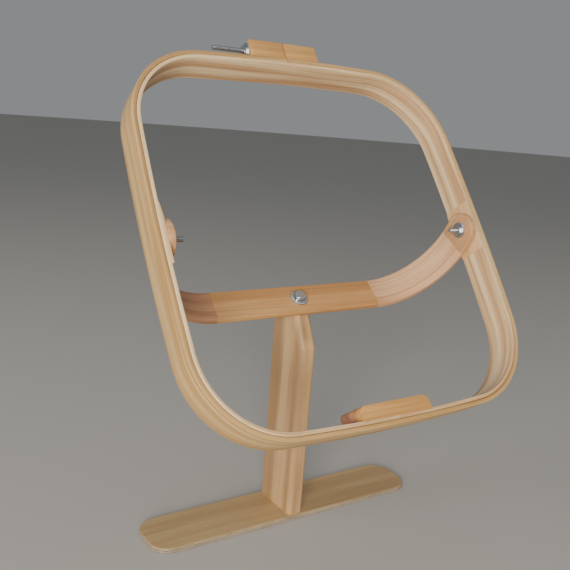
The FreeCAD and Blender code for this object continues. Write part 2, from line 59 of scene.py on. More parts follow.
def linear(hex_colour: str) -> tuple[float, float, float, float]:
    """Turn an sRGB hex colour into linear RGBA.

    Args:
        hex_colour: Colour such as "#c8a878".

    Returns:
        Linear red, green, blue and an alpha of 1.
    """
    parts = [int(hex_colour[i:i + 2], 16) / 255 for i in (1, 3, 5)]
    return (*(c / 12.92 if c <= 0.04045 else ((c + 0.055) / 1.055) ** 2.4 for c in parts), 1.0)


def add_node(tree: bpy.types.NodeTree, kind: str, inputs: dict | None = None,
             **settings: object) -> bpy.types.Node:
    """Add a shader node with its settings, values and links.

    Args:
        tree: Node tree that gets the node.
        kind: Blender's name of the node type.
        inputs: Value or source socket for each input, by name or number.
        **settings: Properties of the node.

    Returns:
        The new node.
    """
    node = tree.nodes.new(kind)
    for name, setting in settings.items():
        setattr(node, name, setting)
    for key, given in (inputs or {}).items():
        if isinstance(given, bpy.types.NodeSocket):
            tree.links.new(given, node.inputs[key])
        else:
            node.inputs[key].default_value = given
    return node


def new_material(name: str) -> tuple[bpy.types.Material, bpy.types.NodeTree, bpy.types.Node]:
    """Start a node material.

    Args:
        name: Name of the material.

    Returns:
        The material, its node tree and its shader.
    """
    material = bpy.data.materials.new(name)
    material.use_nodes = True
    tree = material.node_tree
    return material, tree, tree.nodes["Principled BSDF"]


class Fibre(Enum):
    """Where a wooden piece's grain direction comes from."""

    OWN_MAP = "the grain map of the piece"
    ROW_X = "the row's X axis"
    ROW_Z = "the row's Z axis"


# number of each ShaderNodeMix socket that holds a colour
MIX_A, MIX_B, MIX_OUT = 6, 7, 2


@dataclass(frozen=True)
class Layer:
    """One tone laid over the last, where its pattern is strong."""

    pattern: bpy.types.NodeSocket
    low: float                     # value of the pattern at which the tone begins
    high: float                    # value at which it is full
    tone: str | bpy.types.NodeSocket
    share: float = 1.0
    how: str = "MIX"


def layered(tree: bpy.types.NodeTree, base: str, layers: list[Layer]) -> bpy.types.NodeSocket:
    """Lay tones over a base colour, one after the other.

    Args:
        tree: Node tree of the material.
        base: Hex colour under all of them.
        layers: The tones, lowest first.

    Returns:
        Colour socket.
    """
    colour = linear(base)
    for layer in layers:
        share = add_node(tree, "ShaderNodeMapRange",
                         {"Value": layer.pattern, "From Min": layer.low,
                          "From Max": layer.high, "To Max": layer.share},
                         interpolation_type="SMOOTHSTEP").outputs[0]
        tone = linear(layer.tone) if isinstance(layer.tone, str) else layer.tone
        colour = add_node(tree, "ShaderNodeMix", {0: share, MIX_A: colour, MIX_B: tone},
                          data_type="RGBA", blend_type=layer.how).outputs[MIX_OUT]
    return colour


@dataclass(frozen=True)
class Wood:
    """Sanded hardwood under a thin satin oil: long soft figure, fine fibres, a dull gloss."""

    name: str
    light: str
    dark: str
    vein: str
    vein_share: float = 0.45
    fibre: Fibre = Fibre.OWN_MAP
    figure_mm: float = 12.0        # width of the broad light and dark bands
    vein_mm: float = 3.2           # growth-ring lines, drawn twice as coarse as real ones to show
    fibre_mm: float = 0.9          # fibres, drawn coarser than the real 0.1 mm to show
    heart: str = ""                # colour of heartwood streaks, where there are any
    heart_share: float = 0.0
    heart_mm: float = 21.0
    fleck_mm: float = 1.1          # short flecks of ray tissue
    figure_length_mm: float = 260.0
    vein_length_mm: float = 420.0
    heart_length_mm: float = 330.0
    fleck_length_mm: float = 7.0
    fibre_length_mm: float = 34.0
    wander_mm: float = 9.0         # how far the grain drifts sideways in a board
    wander_length_mm: float = 160.0
    wander_width_mm: float = 60.0
    fibre_shade: str = "#8f8378"
    roughness: float = 0.46
    shift: tuple[float, float, float] = (0.0, 0.0, 0.0)

    def coordinates(self, tree: bpy.types.NodeTree) -> bpy.types.NodeSocket:
        """Find the place in the wood.

        Args:
            tree: Node tree of the material.

        Returns:
            Place in metres, with X along the grain.
        """
        if self.fibre is Fibre.OWN_MAP:
            source = add_node(tree, "ShaderNodeAttribute", attribute_name=GRAIN).outputs["Vector"]
        else:
            source = add_node(tree, "ShaderNodeTexCoord").outputs["Object"]
        turn = (0.0, QUARTER, 0.0) if self.fibre is Fibre.ROW_Z else (0.0, 0.0, 0.0)
        return add_node(tree, "ShaderNodeMapping",
                        {"Vector": source, "Rotation": turn, "Location": self.shift}).outputs[0]

    def streaks(self, tree: bpy.types.NodeTree, place: bpy.types.NodeSocket, length_mm: float,
                width_mm: float, detail: float = 2.0) -> bpy.types.NodeSocket:
        """Noise drawn out along the grain.

        Args:
            tree: Node tree of the material.
            place: Place in the wood, in metres.
            length_mm: Length of a streak.
            width_mm: Width of a streak.
            detail: Octaves of finer noise.

        Returns:
            Socket from 0 to 1.
        """
        across = 1 / (width_mm * MM)
        scaled = add_node(tree, "ShaderNodeMapping",
                          {"Vector": place, "Scale": (1 / (length_mm * MM), across, across)})
        return add_node(tree, "ShaderNodeTexNoise",
                        {"Vector": scaled.outputs[0], "Scale": 1.0, "Detail": detail,
                         "Roughness": 0.55}).outputs["Fac"]

    def wandering(self, tree: bpy.types.NodeTree,
                  place: bpy.types.NodeSocket) -> bpy.types.NodeSocket:
        """Let the grain wander sideways by a few millimetres, as in a real board.

        Args:
            tree: Node tree of the material.
            place: Place in the wood.

        Returns:
            The place, moved sideways.
        """
        drift = self.streaks(tree, place, self.wander_length_mm, self.wander_width_mm, 1.0)
        amount = add_node(tree, "ShaderNodeMath", {0: drift, 1: self.wander_mm * MM},
                          operation="MULTIPLY")
        offset = add_node(tree, "ShaderNodeCombineXYZ", {"Y": amount.outputs[0]})
        return add_node(tree, "ShaderNodeVectorMath", {0: place, 1: offset.outputs[0]}).outputs[0]

    def colour(self, tree: bpy.types.NodeTree, place: bpy.types.NodeSocket,
               fine: bpy.types.NodeSocket) -> bpy.types.NodeSocket:
        """Colour of the face of the wood.

        Args:
            tree: Node tree of the material.
            place: Place in the wood.
            fine: Fibre pattern.

        Returns:
            Colour socket.
        """
        bent = self.wandering(tree, place)
        layers = [
            Layer(self.streaks(tree, bent, self.figure_length_mm, self.figure_mm),
                  0.33, 0.68, self.dark),
            Layer(self.streaks(tree, bent, self.vein_length_mm, self.vein_mm, 1.0),
                  0.50, 0.72, self.vein, self.vein_share),
        ]
        if self.heart:
            layers.append(Layer(self.streaks(tree, bent, self.heart_length_mm, self.heart_mm, 3.0),
                                0.47, 0.64, self.heart, self.heart_share))
        layers += [
            Layer(self.streaks(tree, place, self.fleck_length_mm, self.fleck_mm, 0.0),
                  0.66, 0.80, self.vein, 0.22),
            Layer(fine, 0.25, 0.75, self.fibre_shade, 0.16, "MULTIPLY"),
        ]
        return layered(tree, self.light, layers)

    def material(self) -> bpy.types.Material:
        """Build the material and return it."""
        material, tree, shader = new_material(self.name)
        place = self.coordinates(tree)
        fine = self.streaks(tree, place, self.fibre_length_mm, self.fibre_mm)
        tree.links.new(self.colour(tree, place, fine), shader.inputs["Base Color"])
        rough = add_node(tree, "ShaderNodeMapRange",
                         {"Value": fine, "To Min": self.roughness - 0.07,
                          "To Max": self.roughness + 0.09})
        tree.links.new(rough.outputs[0], shader.inputs["Roughness"])
        relief = add_node(tree, "ShaderNodeBump",
                          {"Height": fine, "Strength": 0.16, "Distance": 0.12 * MM})
        tree.links.new(relief.outputs[0], shader.inputs["Normal"])
        shader.inputs["IOR"].default_value = 1.5
        shader.inputs["Coat Weight"].default_value = 0.05
        shader.inputs["Coat Roughness"].default_value = 0.32
        return material


@dataclass(frozen=True)
class Plywood(Wood):
    """Thin plywood with sanded faces and rubbed, greying edges that show its plies."""

    thickness_mm: float = 5.0
    plies: int = 5
    edge_light: str = "#a3937c"
    edge_dark: str = "#64564a"
    rub_length_mm: float = 22.0
    rub_mm: float = 5.0

    def colour(self, tree: bpy.types.NodeTree, place: bpy.types.NodeSocket,
               fine: bpy.types.NodeSocket) -> bpy.types.NodeSocket:
        """Colour of the faces, with the plies on the edges.

        Args:
            tree: Node tree of the material.
            place: Place in the wood.
            fine: Fibre pattern.

        Returns:
            Colour socket.
        """
        face = super().colour(tree, place, fine)
        height = add_node(tree, "ShaderNodeSeparateXYZ", {0: place}).outputs["Z"]
        turns = add_node(tree, "ShaderNodeMath",
                         {0: height, 1: math.pi * self.plies / (self.thickness_mm * MM)},
                         operation="MULTIPLY")
        wave = add_node(tree, "ShaderNodeMath", {0: turns.outputs[0]}, operation="SINE")
        normal = add_node(tree, "ShaderNodeNewGeometry").outputs["Normal"]
        upright = add_node(tree, "ShaderNodeSeparateXYZ", {0: normal}).outputs["Z"]
        flat = add_node(tree, "ShaderNodeMath", {0: upright}, operation="ABSOLUTE").outputs[0]
        rubbed = self.streaks(tree, place, self.rub_length_mm, self.rub_mm, 3.0)
        return layered(tree, self.edge_light, [
            Layer(wave.outputs[0], -0.5, 0.5, self.edge_dark),
            Layer(rubbed, 0.35, 0.65, self.edge_light, 0.75),
            Layer(flat, 0.35, 0.85, face),
        ])


@dataclass(frozen=True)
class ZincSteel:
    """Bright zinc-plated steel: a cool mirror dulled by fine handling marks."""

    name: str = "zinc_plated_steel"
    light: str = "#d9dcdf"
    dark: str = "#a3a8ad"
    patch_mm: float = 1.6          # cloudy patches of the plating
    mark_mm: float = 0.25          # tool and handling marks
    roughness: float = 0.27

    def material(self) -> bpy.types.Material:
        """Build the material and return it."""
        material, tree, shader = new_material(self.name)
        place = add_node(tree, "ShaderNodeTexCoord").outputs["Object"]
        clouds, marks = (
            add_node(tree, "ShaderNodeTexNoise",
                     {"Vector": place, "Scale": 1 / (size * MM), "Detail": 3.0}).outputs["Fac"]
            for size in (self.patch_mm, self.mark_mm))
        tint = add_node(tree, "ShaderNodeMix",
                        {0: clouds, MIX_A: linear(self.light), MIX_B: linear(self.dark)},
                        data_type="RGBA")
        tree.links.new(tint.outputs[MIX_OUT], shader.inputs["Base Color"])
        rough = add_node(tree, "ShaderNodeMapRange",
                         {"Value": clouds, "To Min": self.roughness - 0.08,
                          "To Max": self.roughness + 0.12})
        tree.links.new(rough.outputs[0], shader.inputs["Roughness"])
        relief = add_node(tree, "ShaderNodeBump",
                          {"Height": marks, "Strength": 0.05, "Distance": 0.02 * MM})
        tree.links.new(relief.outputs[0], shader.inputs["Normal"])
        shader.inputs["Metallic"].default_value = 1.0
        return material


@dataclass(frozen=True)
class Finishes:
    """The materials of the stand, each made once."""

    plywood: bpy.types.Material
    post: bpy.types.Material
    bar: bpy.types.Material
    # the left bend's material is the right bend's, darkened with painted shade
    bend_left: bpy.types.Material
    bend_right: bpy.types.Material
    eye: bpy.types.Material
    outer_ring: bpy.types.Material
    inner_ring: bpy.types.Material
    block: bpy.types.Material
    rear_strip: bpy.types.Material
    pad: bpy.types.Material
    steel: bpy.types.Material

    @classmethod
    def make(cls) -> "Finishes":
        """Build every material and return them together."""
        return cls(
            # birch ply, sanded and oiled: calm faces, rubbed grey edges
            plywood=Plywood("birch_plywood_oiled", "#c1a273", "#b39265", "#9a7b52",
                            fibre=Fibre.ROW_X, figure_mm=15.0, vein_mm=5.0,
                            vein_share=0.20).material(),
            # planed and oiled maple with a brown streak of heartwood
            post=Wood("maple_post_oiled", "#c9a677", "#b48f61", "#94704a", fibre=Fibre.ROW_Z,
                      figure_mm=24.0, vein_mm=4.0, vein_share=0.28, heart="#7a5a42",
                      heart_share=0.40).material(),
            # planed and oiled maple: warm, with a broad figure
            bar=Wood("maple_bar_oiled", "#cf9f66", "#b9864f", "#9d6c3c",
                     figure_mm=13.0).material(),
            # steam-bent maple, sanded: a darker copy of the right bend's material, painted shade
            # where the hoop's ring shades the left bend
            bend_left=Wood("maple_bend_painted_shade", "#c4946d", "#a87452", "#865439",
                           figure_mm=9.0, vein_share=0.50, shift=(0.31, 0.07, 0.02)).material(),
            # steam-bent maple, sanded: the bends' own tone, without painted shade
            bend_right=Wood("maple_bend_pale", "#ddb288", "#c29067", "#a16d48",
                            figure_mm=9.0, vein_share=0.40, shift=(0.31, 0.07, 0.02)).material(),
            # maple offcut, sanded round the tip
            eye=Wood("maple_eye_oiled", "#d2a779", "#bd8d61", "#9c6c46",
                     figure_mm=11.0, shift=(0.44, 0.01, 0.06)).material(),
            # bent ash strip, planed: yellow, with long dark lines
            outer_ring=Wood("ash_strip_outer", "#d3b17a", "#b68f56", "#966d3c",
                            figure_mm=9.0, vein_share=0.50).material(),
            # bent ash strip, planed: paler and pinker than the outer one
            inner_ring=Wood("ash_strip_inner", "#ecd0a4", "#c0966a", "#9b6d46",
                            figure_mm=8.0, vein_share=0.50, shift=(0.53, 0.11, 0.0)).material(),
            # sawn and sanded maple: orange where the oil has soaked in
            block=Wood("maple_block_oiled", "#cc9b5a", "#bb8749", "#9c6b36",
                       figure_mm=12.0, vein_share=0.35, shift=(0.12, 0.03, 0.05)).material(),
            # the pinker board of the two in the splice block
            rear_strip=Wood("maple_block_pink", "#c48f6b", "#ad7455", "#905a41",
                            figure_mm=8.0, shift=(0.77, 0.02, 0.01)).material(),
            # thin ash packing, feathered on a sander: pale, little figure
            pad=Wood("ash_packing", "#e2c294", "#d2a672", "#bd8b52",
                     figure_mm=14.0, vein_share=0.25, shift=(0.21, 0.05, 0.03)).material(),
            steel=ZincSteel().material(),
        )


# -------------------------------------------------------------- tools of the bench

class Part(Enum):
    """The kinds of mesh element that can be picked; the value is the select mode."""

    VERTEX = (True, False, False)
    EDGE = (False, True, False)
    FACE = (False, False, True)


def choose(first: bpy.types.Object, *others: bpy.types.Object) -> None:
    """Select some pieces and nothing else.

    Args:
        first: Piece that becomes the active one.
        *others: Further pieces.
    """
    bpy.ops.object.select_all(action="DESELECT")
    for piece in (first, *others):
        piece.select_set(True)
    bpy.context.view_layer.objects.active = first


@contextmanager
def editing(piece: bpy.types.Object) -> Iterator[None]:
    """Work on one piece in edit mode.

    Args:
        piece: Object to work on.

    Returns:
        Context that leaves edit mode at its end.
    """
    choose(piece)
    bpy.ops.object.mode_set(mode="EDIT")
    yield
    bpy.ops.object.mode_set(mode="OBJECT")


def pick(piece: bpy.types.Object, part: Part, wanted: Callable[[list[Vector]], bool]) -> None:
    """Select the elements whose corner points pass a test, from within edit mode.

    Args:
        piece: Object in edit mode.
        part: Kind of element.
        wanted: Test that gets an element's points.
    """
    bpy.ops.object.mode_set(mode="OBJECT")
    mesh = piece.data
    for elements in (mesh.vertices, mesh.edges, mesh.polygons):
        elements.foreach_set("select", [False] * len(elements))
    chosen = {Part.VERTEX: mesh.vertices, Part.EDGE: mesh.edges, Part.FACE: mesh.polygons}[part]
    for element in chosen:
        numbers = [element.index] if part is Part.VERTEX else element.vertices
        element.select = wanted([mesh.vertices[n].co for n in numbers])
    bpy.context.tool_settings.mesh_select_mode = part.value
    bpy.ops.object.mode_set(mode="EDIT")


def make_sound(piece: bpy.types.Object) -> None:
    """Close a mesh: merge its doubles and turn its faces outwards.

    Args:
        piece: Object to work on.
    """
    with editing(piece):
        bpy.ops.mesh.select_all(action="SELECT")
        bpy.ops.mesh.remove_doubles(threshold=NEAR)
        bpy.ops.mesh.normals_make_consistent(inside=False)


def apply_place(piece: bpy.types.Object) -> None:
    """Move a piece's place into its mesh."""
    choose(piece)
    bpy.ops.object.transform_apply(location=True, rotation=True, scale=True)


def added(size: tuple[float, float, float] = (1.0, 1.0, 1.0)) -> bpy.types.Object:
    """Take the primitive that was just added, give it its size and fix its place.

    Args:
        size: Scale along its own axes.

    Returns:
        The object.
    """
    piece = bpy.context.object
    piece.scale = size
    apply_place(piece)
    return piece


def block(low: Vector, high: Vector) -> bpy.types.Object:
    """Cube primitive between two corners."""
    bpy.ops.mesh.primitive_cube_add(size=1.0, location=(low + high) / 2)
    return added(tuple(high - low))


def rod(radius: float, low_x: float, high_x: float, sides: int = 48) -> bpy.types.Object:
    """Cylinder primitive along local X.

    Args:
        radius: Radius, or half the width across corners of a prism.
        low_x: Place of its first face.
        high_x: Place of its last face.
        sides: Number of sides.

    Returns:
        The object.
    """
    bpy.ops.mesh.primitive_cylinder_add(
        vertices=sides, radius=radius, depth=high_x - low_x,
        location=((low_x + high_x) / 2, 0, 0), rotation=(0, QUARTER, 0))
    return added()


def ease(piece: bpy.types.Object, radius: float, wanted: Callable[[list[Vector]], bool],
         segments: int = 3) -> None:
    """Round the edges that pass a test.

    Args:
        piece: Object to work on.
        radius: Size of the rounding.
        wanted: Test that gets an edge's two points.
        segments: Faces across the rounding.
    """
    with editing(piece):
        pick(piece, Part.EDGE, wanted)
        bpy.ops.mesh.bevel(offset=radius, segments=segments, affect="EDGES", clamp_overlap=True)


def ease_sharp(piece: bpy.types.Object, radius: float, segments: int = 2,
               degrees: float = 35.0) -> None:
    """Round every edge sharper than an angle, by a modifier that is applied.

    Args:
        piece: Object to work on.
        radius: Size of the rounding.
        segments: Faces across the rounding.
        degrees: Least angle between the faces at an edge.
    """
    bevel = piece.modifiers.new("ease", "BEVEL")
    bevel.width = radius
    bevel.segments = segments
    bevel.limit_method = "ANGLE"
    bevel.angle_limit = math.radians(degrees)
    apply_modifier(piece, bevel)


def apply_modifier(piece: bpy.types.Object, modifier: bpy.types.Modifier) -> None:
    """Apply one modifier."""
    choose(piece)
    bpy.ops.object.modifier_apply(modifier=modifier.name)


def combine(piece: bpy.types.Object, tool: bpy.types.Object, how: str) -> None:
    """Cut a piece with a tool, or keep what they share, and throw the tool away.

    Args:
        piece: Object to work on.
        tool: Object that cuts it.
        how: Blender's name of the boolean operation.
    """
    boolean = piece.modifiers.new("combine", "BOOLEAN")
    boolean.operation = how
    boolean.solver = "EXACT"
    boolean.object = tool
    apply_modifier(piece, boolean)
    bpy.data.objects.remove(tool)


def join(first: bpy.types.Object, *others: bpy.types.Object) -> bpy.types.Object:
    """Join shells of one piece into one object.

    Args:
        first: Object that takes in the others.
        *others: Further shells.

    Returns:
        The first object.
    """
    choose(first, *others)
    bpy.ops.object.join()
    return first


def section(radial: tuple[float, float], depth: tuple[float, float], centre: tuple[float, float],
            angle: float, corner: float) -> bpy.types.Object:
    """Outline of a strip's section, with eased corners, at an angle round a centre.

    Args:
        radial: Least and largest distance from the centre.
        depth: Least and largest local Y.
        centre: Local X and Z of the centre.
        angle: Direction of the section, from local X towards local Z.
        corner: Size of the eased corners.

    Returns:
        Wire of edges that is ready to be spun.
    """
    middle, half_depth = sum(radial) / 2, (depth[1] - depth[0]) / 2
    place = (centre[0] + middle * math.cos(angle), sum(depth) / 2,
             centre[1] + middle * math.sin(angle))
    bpy.ops.mesh.primitive_plane_add(size=1.0, location=place, rotation=(0, -angle, 0))
    wire = added((radial[1] - radial[0], 2 * half_depth, 1.0))
    with editing(wire):
        bpy.ops.mesh.select_all(action="SELECT")
        bpy.ops.mesh.bevel(offset=corner, segments=3, affect="VERTICES")
        bpy.ops.mesh.select_all(action="SELECT")
        bpy.ops.mesh.delete(type="ONLY_FACE")
    return wire


def spin(wire: bpy.types.Object, centre: tuple[float, float], angle: float, steps: int) -> None:
    """Sweep the selected section on round a centre, in edit mode."""
    bpy.ops.mesh.spin(steps=steps, angle=angle, center=(centre[0], 0, centre[1]), axis=(0, 1, 0))


def cap_ends(strip: bpy.types.Object) -> None:
    """Close both ends of a swept strip.

    Args:
        strip: Swept strip.
    """
    with editing(strip):
        bpy.ops.mesh.select_all(action="SELECT")
        bpy.ops.mesh.fill_holes(sides=0)
    make_sound(strip)


def map_grain(piece: bpy.types.Object,
              where: Callable[[Vector], tuple[float, float, float]]) -> None:
    """Store each point's place in the wood, before the piece is moved into the row.

    Holes come first, because a boolean clears what is stored.

    Args:
        piece: Object in its own local frame.
        where: Gives along, across and through for a local point, in metres.
    """
    grain = piece.data.attributes.new(GRAIN, "FLOAT_VECTOR", "POINT")
    flat = [number for vertex in piece.data.vertices for number in where(vertex.co)]
    grain.data.foreach_set("vector", flat)


@dataclass(frozen=True)
class Place:
    """Where a finished piece belongs."""

    node: str
    body: str
    slot: str

    def put(self, piece: bpy.types.Object, finish: bpy.types.Material, at: Matrix) -> None:
        """Set a piece in the row, dress it and let it ride on its body.

        Args:
            piece: Object in its own local frame.
            finish: Its material.
            at: The local frame's place in the row.
        """
        piece.name = f"{self.node}_shown"
        piece.data.name = piece.name
        piece.matrix_world = at
        apply_place(piece)
        bpy.ops.object.shade_smooth_by_angle(angle=SMOOTH_ANGLE)
        piece.data.materials.clear()
        piece.data.materials.append(finish)
        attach(piece, self.body)
        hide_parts(self.node)
        LOG.info("%s: %d faces on body %s", piece.name, len(piece.data.polygons), self.body)


def tilted(origin: Vector, up: Vector) -> Matrix:
    """Frame that keeps the row's X axis and turns Z to a direction.

    Args:
        origin: Place of the frame.
        up: Direction of its Z axis.

    Returns:
        The frame's matrix.
    """
    side = Vector((1, 0, 0))
    axes = Matrix((side, up.normalized().cross(side), up.normalized())).transposed().to_4x4()
    axes.translation = origin
    return axes


def joint(name: str) -> dict:
    """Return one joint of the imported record."""
    return next(j for j in frame["joints"] if j["name"] == name)


# ------------------------------------------------------------------------ hardware

@dataclass(frozen=True)
class Hardware:
    """Zinc-plated fasteners, each modelled along local X and set in the row."""

    steel: bpy.types.Material
    small_radius: float = 2.4 * MM
    small_pitch: float = 25.4 / 24 * MM
    small_nut_flats: float = 9.5 * MM
    small_nut_height: float = 3.3 * MM
    small_washer_radius: float = 7.95 * MM
    small_washer_thickness: float = 1.2 * MM
    bore_gap: float = 0.05 * MM
    ridge_half_share: float = 0.46   # half the width of a thread's ridge, in pitches
    ridge_root_share: float = 1.15   # depth of the ridge's root, in depths of the thread
    ridge_steps: int = 18            # faces in one turn of a thread
    washer_roll_share: float = 0.22  # rolled edge of a washer, in thicknesses
    cone_share: float = 0.62         # how much of a hexagon's corners is turned down
    cone_room: float = 1.01          # the turned blank is this much wider than the corners
    hexagon_edge: float = 0.12 * MM

    def threaded(self, radius: float, pitch: float, low_x: float, high_x: float,
                 depth_share: float = 0.55) -> bpy.types.Object:
        """Thread: a core with a pointed end and a ridge wound round it.

        Args:
            radius: Outer radius of the thread.
            pitch: Distance between turns.
            low_x: Free end of the thread.
            high_x: Other end of the thread.
            depth_share: Depth of the thread as a share of its pitch.

        Returns:
            The joined core and ridge.
        """
        depth = depth_share * pitch
        core = rod(radius - depth, low_x, high_x)
        ease(core, 0.5 * depth, lambda ends: all(abs(p.x - low_x) < SAME for p in ends), 1)
        turns = int((high_x - low_x) / pitch) - 1
        half_width, root = pitch * self.ridge_half_share, depth * self.ridge_root_share
        bpy.ops.mesh.primitive_circle_add(vertices=4, radius=half_width)
        ridge = added()
        with editing(ridge):
            bpy.ops.mesh.select_all(action="SELECT")
            bpy.ops.transform.resize(value=(1.0, root / half_width, 1.0))
            bpy.ops.transform.translate(value=(low_x + 0.8 * pitch, radius - root, 0))
        screw = ridge.modifiers.new("wind", "SCREW")
        screw.axis = "X"
        screw.screw_offset = pitch
        screw.iterations = turns
        screw.steps = screw.render_steps = self.ridge_steps
        apply_modifier(ridge, screw)
        cap_ends(ridge)
        return join(core, ridge)

    def washer(self, radius: float, bore: float, low_x: float,
               thickness: float) -> bpy.types.Object:
        """Flat washer with rolled edges.

        Args:
            radius: Outer radius.
            bore: Radius of its hole.
            low_x: Place of its first face.
            thickness: Thickness.

        Returns:
            The washer along local X.
        """
        disc = rod(radius, low_x, low_x + thickness, 72)
        combine(disc, rod(bore, low_x - thickness, low_x + 2 * thickness, 48), "DIFFERENCE")
        ease_sharp(disc, self.washer_roll_share * thickness)
        return disc

    def hexagon(self, flats: float, low_x: float, height: float, both: bool) -> bpy.types.Object:
        """Hexagonal prism whose corners are turned down to a cone.

        Args:
            flats: Width across flats.
            low_x: Place of its first face.
            height: Height.
            both: Turn down both faces, as on a nut, or only the last one.

        Returns:
            The prism along local X.
        """
        corner = flats / math.sqrt(3)
        prism = rod(corner, low_x, low_x + height, 6)
        turned = rod(corner * self.cone_room, low_x, low_x + height, 96)
        faces = (low_x, low_x + height) if both else (low_x + height,)
        ease(turned, self.cone_share * (corner - flats / 2) * 2,
             lambda ends: any(all(abs(p.x - x) < SAME for p in ends) for x in faces), 1)
        combine(prism, turned, "INTERSECT")
        ease_sharp(prism, self.hexagon_edge, 2, 25.0)
        return prism

    def small_nut_and_washer(self, name: str, body_washer: str, body_nut: str, face_x: float,
                             away: int, at: Matrix) -> None:
        """Washer and nut on a small bolt.

        Args:
            name: Start and end of the node names, with a gap for the kind.
            body_washer: Body of the washer.
            body_nut: Body of the nut.
            face_x: Local X of the face that the washer lies on.
            away: +1 or -1, the side of that face with the nut.
            at: Frame of the bolt, with local X along it.
        """
        thickness, height = self.small_washer_thickness, self.small_nut_height
        washer_low = min(face_x, face_x + away * thickness)
        washer = self.washer(self.small_washer_radius, self.small_radius + self.bore_gap,
                             washer_low, thickness)
        Place(name.format("washer"), body_washer, "zinc_steel").put(washer, self.steel, at)
        start = face_x + away * thickness
        nut_low = min(start, start + away * height)
        nut = self.hexagon(self.small_nut_flats, nut_low, height, True)
        hole = rod(self.small_radius + self.bore_gap, nut_low - height, nut_low + 2 * height)
        combine(nut, hole, "DIFFERENCE")
        Place(name.format("nut"), body_nut, "zinc_steel").put(nut, self.steel, at)


# --------------------------------------------------------------------------- stand

@dataclass(frozen=True)
class Stand:
    """Base plate, post and the screws between them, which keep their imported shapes."""

    finishes: Finishes

    def dress(self) -> None:
        """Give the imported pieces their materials."""
        dressed = {"base_plate": self.finishes.plywood, "post": self.finishes.post,
                   "base_screws": self.finishes.steel}
        for node, finish in dressed.items():
            frame["nodes"][node].data.materials[0] = finish
            LOG.info("%s: packed shape, dressed in %s", node, finish.name)


# ---------------------------------------------------------------------------- yoke

